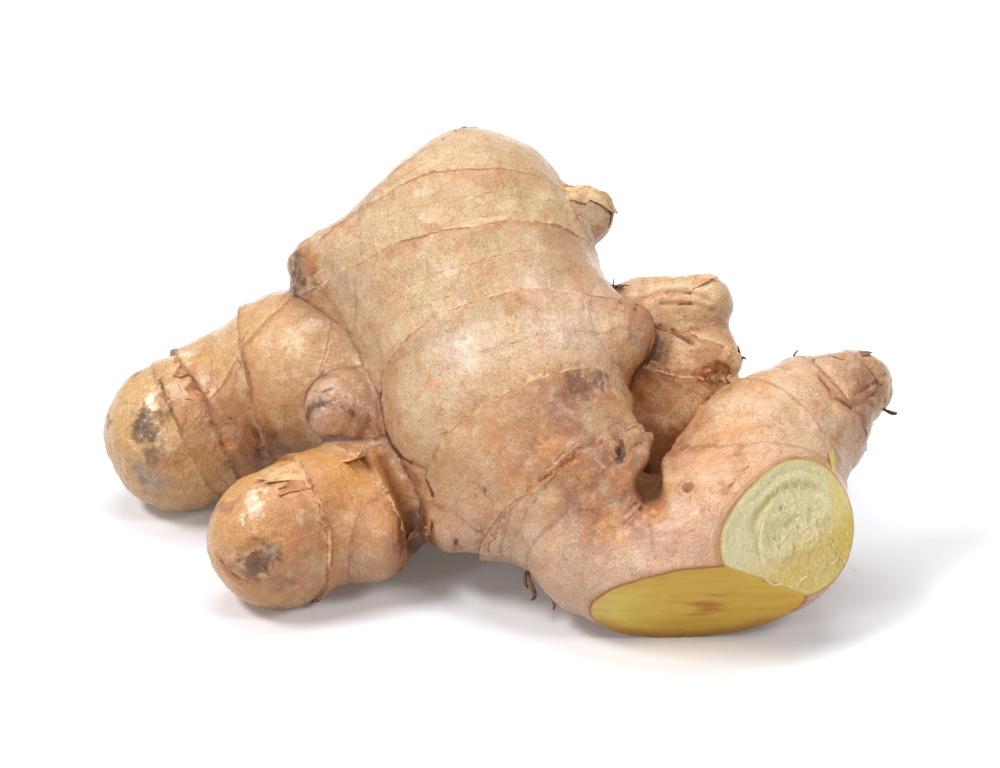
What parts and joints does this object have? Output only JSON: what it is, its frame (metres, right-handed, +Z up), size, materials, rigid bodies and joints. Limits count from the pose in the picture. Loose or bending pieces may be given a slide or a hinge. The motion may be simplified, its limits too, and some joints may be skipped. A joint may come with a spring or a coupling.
{
  "type": "ginger rhizome",
  "caption": "Fresh ginger rhizome lying on a table: swollen ringed fingers with side buds, snapped and knife-trimmed at one end.",
  "frame": {"origin": "middle of the bounding box in X and Y, at the table surface that the rhizome lies on", "axes": "+Z up from the table; +X along the longest extent, from the rounded left finger to the right finger beside the cut end; -Y is the side with the cut faces"},
  "size_m": [0.1532, 0.0921, 0.0773],
  "materials": {
    "ginger_skin": "thin tan to pinkish skin with brown scale rings, satin",
    "ginger_flesh": "yellow cut flesh, moist where the knife went, dry and stringy at the break",
    "dry_scale": "papery brown scale leaves and dry root stubs, matt"
  },
  "bodies": {
    "root": {"ginger_rhizome": "ginger_skin"}
  },
  "joints": []
}
